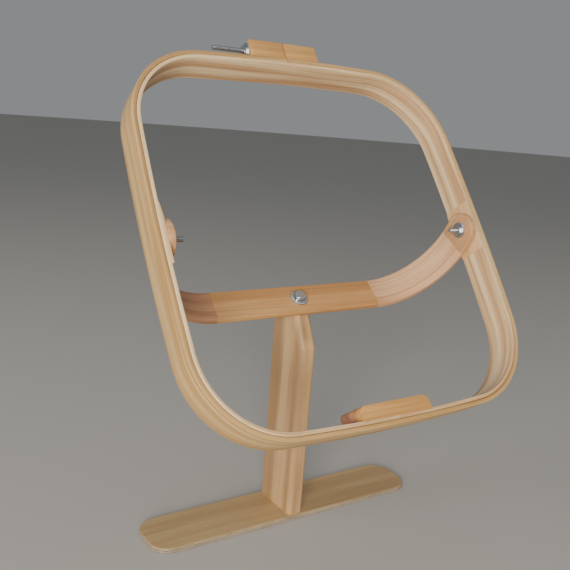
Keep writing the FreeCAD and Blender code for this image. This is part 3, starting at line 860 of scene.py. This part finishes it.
@dataclass(frozen=True)
class Yoke:
    """Flat strip glued up from a bar, two quarter bends and two round-ended eyes."""

    finishes: Finishes
    hardware: Hardware
    width: float = 34.0 * MM
    thickness: float = 6.4 * MM
    bar_length: float = 188.0 * MM
    bend_radius: float = 68.0 * MM
    arm_straight: float = 17.0 * MM
    edge: float = 1.3 * MM           # rounding of the long edges
    seam: float = 0.22 * MM          # easing at the glue seams, which shows each as a line
    seam_slant: float = 4.0 / 34.0   # the bar's seams lean to the right towards the top edge
    bend_steps: int = 30
    head_flats: float = 11.1 * MM
    head_height: float = 4.0 * MM
    screw_radius: float = 3.175 * MM
    screw_length: float = 38.0 * MM
    screw_pitch: float = 2.54 * MM
    washer_radius: float = 9.3 * MM
    washer_thickness: float = 1.5 * MM
    frame_at: Matrix = field(default_factory=lambda: tilted(
        Vector(joint("yoke_swivel")["pos_m"]), Vector(joint("yoke_swivel")["axis"])))

    @property
    def pivot_height(self) -> float:
        """Height of the pivots over the seat."""
        return self.thickness + self.bend_radius + self.arm_straight

    def slant(self, piece: bpy.types.Object, seams: tuple[float, ...]) -> None:
        """Lean end faces, so that the glue seam runs slightly aslant.

        Args:
            piece: Piece in the yoke's frame.
            seams: Local X of each face.
        """
        for vertex in piece.data.vertices:
            if any(abs(vertex.co.x - x) < self.seam * 1.5 for x in seams):
                vertex.co.x += self.seam_slant * vertex.co.y

    def drill(self, piece: bpy.types.Object, radius: float, height: float, reach: float,
              along_bar: bool) -> None:
        """Drill a round hole through a piece.

        Args:
            piece: Piece in the yoke's frame.
            radius: Radius of the hole.
            height: Local Z of its axis, or of its middle where it runs along local Z.
            reach: Half of its length.
            along_bar: Whether it runs along local X.
        """
        bpy.ops.mesh.primitive_cylinder_add(
            vertices=48, radius=radius, depth=2 * reach, location=(0, 0, height),
            rotation=(0, QUARTER, 0) if along_bar else (0, 0, 0))
        combine(piece, added(), "DIFFERENCE")

    def build_bar(self) -> None:
        """Straight bar with rounded long edges and slanting ends."""
        half = self.bar_length / 2
        bar = block(Vector((-half, -self.width / 2, 0)),
                    Vector((half, self.width / 2, self.thickness)))
        ease(bar, self.edge, lambda ends: abs(ends[0].x - ends[1].x) > half, 4)
        ease(bar, self.seam, lambda ends: abs(ends[0].x - ends[1].x) < SAME
             and abs(abs(ends[0].x) - half) < SAME, 1)
        self.slant(bar, (-half, half))
        self.drill(bar, self.screw_radius + self.hardware.bore_gap, self.thickness / 2,
                   self.thickness, False)
        map_grain(bar, lambda p: (p.x, p.y, p.z))
        Place("yoke_bar", "yoke", "bar_wood").put(bar, self.finishes.bar, self.frame_at)

    def build_corner(self, side: str, sign: int) -> None:
        """Quarter bend, spun from the strip's section.

        Args:
            side: Word for the side in the node's name.
            sign: -1 at the left, +1 at the right.
        """
        centre = (sign * self.bar_length / 2, self.thickness + self.bend_radius)
        start = -QUARTER if sign > 0 else 2 * QUARTER
        radial = (self.bend_radius, self.bend_radius + self.thickness)
        bend = section(radial, (-self.width / 2, self.width / 2), centre, start, self.edge)
        with editing(bend):
            bpy.ops.mesh.select_all(action="SELECT")
            spin(bend, centre, QUARTER, self.bend_steps)
        cap_ends(bend)
        eye_z = centre[1]
        ease(bend, self.seam, lambda ends: all(abs(p.x - centre[0]) < SAME for p in ends)
             or all(abs(p.z - eye_z) < SAME for p in ends), 1)
        self.slant(bend, (centre[0],))
        middle = self.bend_radius + self.thickness / 2

        def in_strip(p: Vector) -> tuple[float, float, float]:
            """Place in the bent strip: along its middle, across, and through."""
            dx, dz = abs(p.x) - self.bar_length / 2, centre[1] - p.z
            return (sign * (0.5 + math.atan2(dx, dz) * middle), p.y, math.hypot(dx, dz) - middle)

        map_grain(bend, in_strip)
        # the left bend gets the copy darkened with painted shade
        finish = self.finishes.bend_left if sign < 0 else self.finishes.bend_right
        Place(f"yoke_corner_{side}", "yoke", "bend_wood").put(bend, finish, self.frame_at)

    def build_eye(self, side: str, sign: int) -> None:
        """Short end with a round tip: half a disc, extruded down and then thickened.

        Args:
            side: Word for the side in the node's name.
            sign: -1 at the left, +1 at the right.
        """
        inner = self.bar_length / 2 + self.bend_radius
        foot = self.thickness + self.bend_radius
        start = sign * inner
        bpy.ops.mesh.primitive_circle_add(
            vertices=64, radius=self.width / 2, fill_type="NGON",
            location=(start, 0, self.pivot_height), rotation=(0, QUARTER, 0))
        eye = added()
        with editing(eye):
            bpy.ops.mesh.select_all(action="SELECT")
            bpy.ops.mesh.bisect(plane_co=(start, 0, self.pivot_height), plane_no=(0, 0, 1),
                                clear_inner=True)
            pick(eye, Part.EDGE, lambda ends: all(p.z < self.pivot_height + NEAR for p in ends))
            bpy.ops.mesh.extrude_region_move(
                TRANSFORM_OT_translate={"value": (0, 0, foot - self.pivot_height)})
            bpy.ops.mesh.select_all(action="SELECT")
            bpy.ops.mesh.extrude_region_move(
                TRANSFORM_OT_translate={"value": (sign * self.thickness, 0, 0)})
        make_sound(eye)

        def is_rim(ends: list[Vector]) -> bool:
            """Whether an edge lies on the long sides or round the tip of a face."""
            on_face = any(all(abs(p.x - x) < SAME for p in ends)
                          for x in (start, start + sign * self.thickness))
            outside = all(abs(abs(p.y) - self.width / 2) < NEAR or p.z > self.pivot_height + NEAR
                          for p in ends)
            return on_face and outside and ends[0] != ends[1]

        ease(eye, 0.8 * self.edge, is_rim, 3)
        self.drill(eye, self.hardware.small_radius + self.hardware.bore_gap, self.pivot_height,
                   inner + 4 * self.thickness, True)
        map_grain(eye, lambda p: (p.z + 0.2 * sign, p.y, p.x - start))
        Place(f"yoke_eye_{side}", "yoke", "bar_wood").put(eye, self.finishes.eye, self.frame_at)

    def build_swivel(self) -> None:
        """Hex-headed screw and its wide washer."""
        upright = self.frame_at @ Matrix.Rotation(-QUARTER, 4, "Y")
        bore = self.screw_radius + self.hardware.bore_gap
        washer = self.hardware.washer(self.washer_radius, bore, self.thickness,
                                      self.washer_thickness)
        steel = self.hardware.steel
        Place("swivel_washer", "swivel_washer", "zinc_steel").put(washer, steel, upright)
        under_head = self.thickness + self.washer_thickness
        head = self.hardware.hexagon(self.head_flats, under_head, self.head_height, False)
        thread_start = under_head - self.screw_length
        thread_end = thread_start + 0.62 * self.screw_length
        shank = rod(self.screw_radius, thread_end - self.screw_pitch,
                    under_head + self.head_height / 2)
        thread = self.hardware.threaded(self.screw_radius, self.screw_pitch, thread_start,
                                        thread_end, 0.3)
        screw = join(head, shank, thread)
        Place("swivel_screw", "swivel_screw", "zinc_steel").put(screw, steel, upright)

    def build(self) -> None:
        """Build the yoke and its screw."""
        self.build_bar()
        for side, sign in (("left", -1), ("right", 1)):
            self.build_corner(side, sign)
            self.build_eye(side, sign)
        self.build_swivel()


# ---------------------------------------------------------------------------- hoop

@dataclass(frozen=True)
class Arc:
    """Arc of the hoop's outline in its local XZ plane."""

    centre: tuple[float, float]
    radius: float
    start: float
    end: float


@dataclass(frozen=True)
class Outline:
    """Rounded square with slightly bowed sides: the outside of the outer ring."""

    width: float = 356.0 * MM
    height: float = 361.0 * MM
    side_radius: float = 2500.0 * MM
    end_radius: float = 2000.0 * MM
    corner_radius: float = 82.0 * MM

    @property
    def corner_centre(self) -> tuple[float, float]:
        """Centre of the corner arc at top right, which touches both bowed sides."""
        back, down = self.side_radius - self.width / 2, self.end_radius - self.height / 2
        x, z = self.width / 2 - self.corner_radius, self.height / 2 - self.corner_radius
        for _ in range(6):
            x = math.sqrt((self.side_radius - self.corner_radius) ** 2 - z * z) - back
            z = math.sqrt((self.end_radius - self.corner_radius) ** 2 - x * x) - down
        return x, z

    def arcs(self) -> list[Arc]:
        """The eight arcs in order, from the top one on past the left."""
        back, down = self.side_radius - self.width / 2, self.end_radius - self.height / 2
        x, z = self.corner_centre
        side = math.atan2(z, x + back)
        end = math.atan2(z + down, x)
        turn = 2 * QUARTER
        return [
            Arc((0, -down), self.end_radius, end, turn - end),
            Arc((-x, z), self.corner_radius, turn - end, turn - side),
            Arc((back, 0), self.side_radius, turn - side, turn + side),
            Arc((-x, -z), self.corner_radius, turn + side, turn + end),
            Arc((0, down), self.end_radius, turn + end, 2 * turn - end),
            Arc((x, -z), self.corner_radius, 2 * turn - end, 2 * turn - side),
            Arc((-back, 0), self.side_radius, -side, side),
            Arc((x, z), self.corner_radius, side, end),
        ]

    def inset(self, p: Vector) -> float:
        """Distance of a local point inwards from the outline.

        Args:
            p: Point in the hoop's frame.

        Returns:
            The distance, in metres.
        """
        x, z = self.corner_centre
        back, down = self.side_radius - self.width / 2, self.end_radius - self.height / 2
        if abs(p.x) > x and abs(p.z) > z:
            return self.corner_radius - math.hypot(abs(p.x) - x, abs(p.z) - z)
        return min(self.side_radius - math.hypot(abs(p.x) + back, p.z),
                   self.end_radius - math.hypot(p.x, abs(p.z) + down))


@dataclass(frozen=True)
class Hoop:
    """Inner and outer ring, with the clamp on top, the splice block below and the pivots."""

    finishes: Finishes
    hardware: Hardware
    yoke: Yoke
    outline: Outline = Outline()
    depth: float = 31.5 * MM
    outer_thickness: float = 4.0 * MM
    gap: float = 0.3 * MM
    inner_thickness: float = 3.4 * MM
    rim_edge: float = 0.7 * MM
    side_steps: int = 14
    corner_steps: int = 30
    split_middle: float = -3.25 * MM
    split_width: float = 1.0 * MM
    block_length: float = 37.25 * MM
    block_height: float = 18.0 * MM
    bolt_from_front: float = 9.5 * MM
    bolt_above_ring: float = 10.5 * MM
    bolt_end: float = 77.5 * MM
    counterbore_radius: float = 6.0 * MM
    counterbore_depth: float = 9.0 * MM
    head_radius: float = 5.3 * MM
    head_height: float = 2.8 * MM
    splice_length: float = 74.0 * MM
    splice_height: float = 12.5 * MM
    splice_front: float = 10.5 * MM
    splice_round: float = 7.0 * MM
    splice_left_round: float = 4.5 * MM
    pad_length: float = 53.0 * MM
    pad_feather: float = 13.0 * MM
    pad_tip: float = 0.4 * MM
    pivot_length: float = 25.4 * MM
    pivot_head_radius: float = 4.6 * MM
    pivot_head_height: float = 2.2 * MM
    rooted: float = 0.35 * MM        # how far glued pieces reach into the ring's bow
    bolt_clearance: float = 0.2 * MM
    block_edge: float = 1.1 * MM
    splice_edge: float = 0.45 * MM
    head_round: float = 1.9 * MM
    eye_gap: float = 0.1 * MM        # between a pad and the yoke's eye
    overrun: float = 1 * MM          # how far a drill runs past the wood
    frame_at: Matrix = field(default_factory=lambda: tilted(
        Vector(joint("hoop_tilt")["pos_m"]),
        Vector((1, 0, 0)).cross(-Vector(joint("outer_hoop_release")["axis"]))))

    @property
    def inside(self) -> float:
        """Distance from the outline to the inner ring's inner face."""
        return self.outer_thickness + self.gap + self.inner_thickness

    def sweep(self, insets: tuple[float, float], first: int, cut: float,
              gaps: tuple[float, float]) -> bpy.types.Object:
        """Sweep a strip's section once round the hoop, from one side of a cut to the other.

        Args:
            insets: Distances of the strip's two faces inwards from the outline.
            first: Number of the arc that holds the cut.
            cut: Angle of the cut on that arc.
            gaps: Angles from the cut to the strip's start and end.

        Returns:
            The closed strip.
        """
        arcs = self.outline.arcs()
        opening = arcs[first]
        parts = [Arc(opening.centre, opening.radius, cut + gaps[0], opening.end),
                 *arcs[first + 1:], *arcs[:first],
                 Arc(opening.centre, opening.radius, opening.start, cut - gaps[1])]
        radial = (opening.radius - insets[1], opening.radius - insets[0])
        strip = section(radial, (-self.depth / 2, self.depth / 2), opening.centre,
                        parts[0].start, self.rim_edge)
        with editing(strip):
            bpy.ops.mesh.select_all(action="SELECT")
            for part in parts:
                corner = part.radius == self.outline.corner_radius
                steps = self.corner_steps if corner else self.side_steps
                spin(strip, part.centre, part.end - part.start, steps)
        cap_ends(strip)
        return strip

    def map_ring(self, ring: bpy.types.Object, seam: float) -> None:
        """Let the grain of a ring run round it, starting at its own cut.

        Args:
            ring: Swept ring in the hoop's frame.
            seam: Direction of its cut from the hoop's middle.
        """
        # mean distance of the strip from the hoop's middle, a little over half its width
        mean = (self.outline.width + self.outline.height) / 3.6

        def in_strip(p: Vector) -> tuple[float, float, float]:
            """Place in the ring's strip: round it, across, and through."""
            angle = (math.atan2(p.z, p.x) - seam) % (4 * QUARTER)
            return (angle * mean, p.y, self.outline.inset(p))

        map_grain(ring, in_strip)

    def build_rings(self) -> None:
        """Outer ring, split at the top, and inner ring, joined under the splice block."""
        top = QUARTER - self.split_middle / self.outline.end_radius
        half = self.split_width / 2 / self.outline.end_radius
        outer = self.sweep((0.0, self.outer_thickness), 0, top, (half, half))
        self.map_ring(outer, math.atan2(self.outline.height / 2, self.split_middle))
        Place("outer_ring", "outer_hoop", "ring_wood").put(
            outer, self.finishes.outer_ring, self.frame_at)
        joint_gap = 0.02 * MM / self.outline.end_radius
        inner = self.sweep((self.outer_thickness + self.gap, self.inside), 4, 3 * QUARTER,
                           (joint_gap, joint_gap))
        for sign in (-1, 1):
            self.sink_pivot(inner, sign)
        self.map_ring(inner, -QUARTER)
        Place("inner_ring", "inner_hoop", "ring_wood").put(
            inner, self.finishes.inner_ring, self.frame_at)

    def sink_pivot(self, ring: bpy.types.Object, sign: int) -> None:
        """Countersink the ring's outer face for a pivot bolt.

        Args:
            ring: Inner ring.
            sign: -1 at the left, +1 at the right.
        """
        outside = self.outline.width / 2 - self.outer_thickness - self.gap
        wide = self.pivot_head_radius + self.hardware.bore_gap
        narrow = self.hardware.small_radius + self.hardware.bore_gap
        # a cone through the whole ring, as wide as the bolt's head at the outer face
        slope = (wide - narrow) / self.pivot_head_height
        reach = self.inner_thickness
        bpy.ops.mesh.primitive_cone_add(
            vertices=48, radius1=wide + slope * self.gap, radius2=narrow,
            depth=self.pivot_head_height + self.gap, rotation=(0, -sign * QUARTER, 0),
            location=(sign * (outside + (self.gap - self.pivot_head_height) / 2), 0, 0))
        combine(ring, added(), "DIFFERENCE")
        low = sign * (outside - reach)
        bore = rod(narrow, min(low, sign * outside) - reach, max(low, sign * outside) + reach)
        combine(ring, bore, "DIFFERENCE")

    def build_clamp(self) -> None:
        """Two blocks beside the split, drawn together by a long bolt."""
        half_depth, foot = self.depth / 2, self.outline.height / 2 - self.rooted
        axis = Vector((0, self.bolt_from_front - half_depth,
                       self.outline.height / 2 + self.bolt_above_ring))
        right_low = self.split_middle + self.split_width / 2
        left_high = self.split_middle - self.split_width / 2
        spans = {"left": (left_high - self.block_length, left_high),
                 "right": (right_low, right_low + self.block_length)}
        for side, (low, high) in spans.items():
            wood = block(Vector((low, -half_depth, foot)),
                         Vector((high, half_depth, foot + self.block_height + self.rooted)))
            ease(wood, self.block_edge, lambda ends: any(p.z > foot + NEAR for p in ends), 3)
            self.cut_along_x(wood, axis, self.hardware.small_radius + self.bolt_clearance,
                             low - self.overrun, high + self.overrun)
            if side == "right":
                self.cut_along_x(wood, axis, self.counterbore_radius,
                                 high - self.counterbore_depth, high + self.overrun)
            map_grain(wood, lambda p: (p.x, p.y, p.z))
            Place(f"clamp_block_{side}", "outer_hoop", "block_wood").put(
                wood, self.finishes.block, self.frame_at)
        at = self.frame_at @ Matrix.Translation(axis)
        floor = spans["right"][1] - self.counterbore_depth
        shank = rod(self.hardware.small_radius, left_high - self.block_length + 2 * MM, floor)
        thread = self.hardware.threaded(self.hardware.small_radius, self.hardware.small_pitch,
                                        -self.bolt_end, left_high - self.block_length + 3 * MM)
        head = rod(self.head_radius, floor, floor + self.head_height)
        crown = floor + self.head_height - NEAR
        ease(head, self.head_round, lambda ends: all(p.x > crown for p in ends), 6)
        bolt = join(shank, thread, head)
        Place("clamp_bolt", "outer_hoop", "zinc_steel").put(bolt, self.hardware.steel, at)
        self.hardware.small_nut_and_washer("clamp_{}", "clamp_washer", "clamp_nut",
                                           left_high - self.block_length, -1, at)

    def cut_along_x(self, piece: bpy.types.Object, axis: Vector, radius: float, low: float,
                    high: float) -> None:
        """Drill a hole along local X.

        Args:
            piece: Piece in the hoop's frame.
            axis: Point on the hole's axis, at local X of 0.
            radius: Radius of the hole.
            low: Local X of its start.
            high: Local X of its end.
        """
        bit = rod(radius, low, high)
        bit.location = axis
        apply_place(bit)
        combine(piece, bit, "DIFFERENCE")

    def build_splice(self) -> None:
        """Two strips side by side over the inner ring's joint, rounded at their upper ends."""
        floor = -self.outline.height / 2 + self.inside
        top, half = floor + self.splice_height, self.splice_length / 2
        front, back = -self.depth / 2, self.depth / 2
        middle = front + self.splice_front
        strips = {"front": (front, middle, self.finishes.block),
                  "rear": (middle, back, self.finishes.rear_strip)}
        for name, (low, high, finish) in strips.items():
            strip = block(Vector((-half, low, floor - 2 * self.rooted)), Vector((half, high, top)))
            for x, radius in ((-half, self.splice_left_round), (half, self.splice_round)):
                ease(strip, radius, lambda ends, end=x: all(
                    p.z > top - NEAR and abs(p.x - end) < SAME for p in ends), 9)
            ease(strip, self.splice_edge, lambda ends: all(p.z > floor - NEAR for p in ends)
                 and abs(ends[0].y - ends[1].y) < SAME, 2)
            map_grain(strip, lambda p: (p.x, p.y, p.z))
            Place(f"splice_block_{name}", "inner_hoop", "block_wood").put(
                strip, finish, self.frame_at)

    def build_pivot(self, side: str, sign: int) -> None:
        """Packing pad, countersunk bolt, washer and nut at one side.

        Args:
            side: Word for the side in the node's name.
            sign: -1 at the left, +1 at the right.
        """
        face = self.yoke.bar_length / 2 + self.yoke.bend_radius + self.yoke.thickness + self.eye_gap
        ring = self.outline.width / 2 - self.inside
        tip = ring - self.pad_tip
        root = ring + self.rooted
        flat, half = self.pad_length / 2 - self.pad_feather, self.pad_length / 2
        pad = block(Vector((min(sign * face, sign * root), -self.depth / 2, -flat)),
                    Vector((max(sign * face, sign * root), self.depth / 2, flat)))
        with editing(pad):
            for end in (-1, 1):
                pick(pad, Part.FACE, lambda points, e=end: all(
                    abs(p.z - e * flat) < SAME for p in points))
                bpy.ops.mesh.extrude_region_move(
                    TRANSFORM_OT_translate={"value": (0, 0, end * self.pad_feather)})
            # feathered right across at the top, but only towards the back at the bottom
            pick(pad, Part.VERTEX, lambda points: abs(abs(points[0].x) - face) < SAME
                 and (points[0].z > half - NEAR
                      or (points[0].z < -half + NEAR and points[0].y > 0)))
            bpy.ops.transform.translate(value=(sign * (tip - face), 0, 0))
        ease_sharp(pad, 0.2 * MM, 1)
        radius = self.hardware.small_radius + self.hardware.bore_gap
        low, high = sorted((sign * (face - 2 * MM), sign * (root + 2 * MM)))
        self.cut_along_x(pad, Vector(), radius, low, high)
        map_grain(pad, lambda p: (p.z, p.y, 0.0))
        Place(f"pivot_pad_{side}", "inner_hoop", "block_wood").put(
            pad, self.finishes.pad, self.frame_at)

        outside = self.outline.width / 2 - self.outer_thickness - self.gap - self.hardware.bore_gap
        inner_end = outside - self.pivot_length
        wood_face = face - self.eye_gap - self.yoke.thickness
        thread_end = wood_face + 2 * MM
        thread = self.hardware.threaded(self.hardware.small_radius, self.hardware.small_pitch,
                                        inner_end, thread_end)
        shank = rod(self.hardware.small_radius, thread_end - 1 * MM, outside - 1 * MM)
        bpy.ops.mesh.primitive_cone_add(
            vertices=48, radius1=self.hardware.small_radius, radius2=self.pivot_head_radius,
            depth=self.pivot_head_height, rotation=(0, QUARTER, 0),
            location=(outside - self.pivot_head_height / 2, 0, 0))
        bolt = join(thread, shank, added())
        half_turn = Matrix.Rotation(2 * QUARTER, 4, "Z")
        facing = self.frame_at if sign > 0 else self.frame_at @ half_turn
        Place(f"pivot_bolt_{side}", "inner_hoop", "zinc_steel").put(
            bolt, self.hardware.steel, facing)
        self.hardware.small_nut_and_washer(f"pivot_{{}}_{side}", f"pivot_washer_{side}",
                                           f"pivot_nut_{side}", wood_face, -1, facing)

    def build(self) -> None:
        """Build the whole hoop."""
        self.build_rings()
        self.build_clamp()
        self.build_splice()
        for side, sign in (("left", -1), ("right", 1)):
            self.build_pivot(side, sign)


# -------------------------------------------------------------------------- studio

@dataclass(frozen=True)
class SoftLight:
    """Large soft lamp: where it stands, its power, its size and its tint."""

    name: str
    place: tuple[float, float, float]
    watts: float
    size: float
    tint: str = "#ffffff"


@dataclass(frozen=True)
class Studio:
    """Pale floor, soft light and the camera."""

    target: Vector = Vector((0.0, -0.03, 0.24))
    camera_place: tuple[float, float, float] = (-0.4028, -0.5829, 0.4073)
    yaw: float = -33.495
    pitch: float = -13.342
    roll: float = 4.396
    lens_mm: float = 46.824
    floor_colour: str = "#b4b1ac"
    air_colour: str = "#b3b6b8"
    air_strength: float = 0.56
    lights: tuple[SoftLight, ...] = (
        SoftLight("window_light", (-1.45, -1.75, 0.62), 78.0, 1.1, "#fff7ea"),
        SoftLight("side_light", (-2.3, 0.5, 0.9), 14.0, 1.0, "#f6f8ff"),
        SoftLight("ceiling_light", (0.3, -0.4, 1.9), 5.0, 1.4, "#ffffff"),
    )

    def build_floor(self) -> None:
        """Wide round floor."""
        bpy.ops.mesh.primitive_circle_add(vertices=96, radius=12.0, fill_type="NGON")
        floor = added()
        floor.name = "floor"
        material, tree, shader = new_material("painted_floor")
        mottle = add_node(tree, "ShaderNodeTexNoise",
                          {"Vector": add_node(tree, "ShaderNodeTexCoord").outputs["Object"],
                           "Scale": 3.0, "Detail": 2.0})
        rough = add_node(tree, "ShaderNodeMapRange",
                         {"Value": mottle.outputs["Fac"], "To Min": 0.75, "To Max": 0.9})
        tree.links.new(rough.outputs[0], shader.inputs["Roughness"])
        shader.inputs["Base Color"].default_value = linear(self.floor_colour)
        floor.data.materials.append(material)

    def build_lights(self) -> None:
        """Soft lamps and the light of the room."""
        for light in self.lights:
            lamp = bpy.data.lights.new(light.name, "AREA")
            lamp.energy, lamp.size, lamp.color = light.watts, light.size, linear(light.tint)[:3]
            holder = bpy.data.objects.new(light.name, lamp)
            holder.location = light.place
            aim = self.target - Vector(light.place)
            holder.rotation_euler = aim.to_track_quat("-Z", "Y").to_euler()
            bpy.context.scene.collection.objects.link(holder)
        world = bpy.data.worlds.new("room")
        world.use_nodes = True
        air = world.node_tree.nodes["Background"]
        air.inputs["Color"].default_value = linear(self.air_colour)
        air.inputs["Strength"].default_value = self.air_strength
        bpy.context.scene.world = world

    def build_camera(self) -> None:
        """Camera at the front left, a little above the hoop's middle."""
        lens = bpy.data.cameras.new("camera")
        lens.sensor_width = 36.0
        lens.lens = self.lens_mm
        lens.clip_start = 0.01
        camera = bpy.data.objects.new("camera", lens)
        turn = (Matrix.Rotation(math.radians(self.yaw), 4, "Z")
                @ Matrix.Rotation(math.radians(90 + self.pitch), 4, "X")
                @ Matrix.Rotation(math.radians(self.roll), 4, "Z"))
        camera.matrix_world = Matrix.Translation(self.camera_place) @ turn
        bpy.context.scene.collection.objects.link(camera)
        bpy.context.scene.camera = camera

    def build(self) -> None:
        """Build the studio."""
        self.build_floor()
        self.build_lights()
        self.build_camera()


def main() -> None:
    """Build the stand, the yoke, the hoop and the studio."""
    logging.basicConfig(level=logging.INFO, format="%(name)s: %(message)s")
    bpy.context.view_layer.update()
    finishes = Finishes.make()
    hardware = Hardware(finishes.steel)
    yoke = Yoke(finishes, hardware)
    Stand(finishes).dress()
    yoke.build()
    Hoop(finishes, hardware, yoke).build()
    Studio().build()


if __name__ == "__main__":
    main()
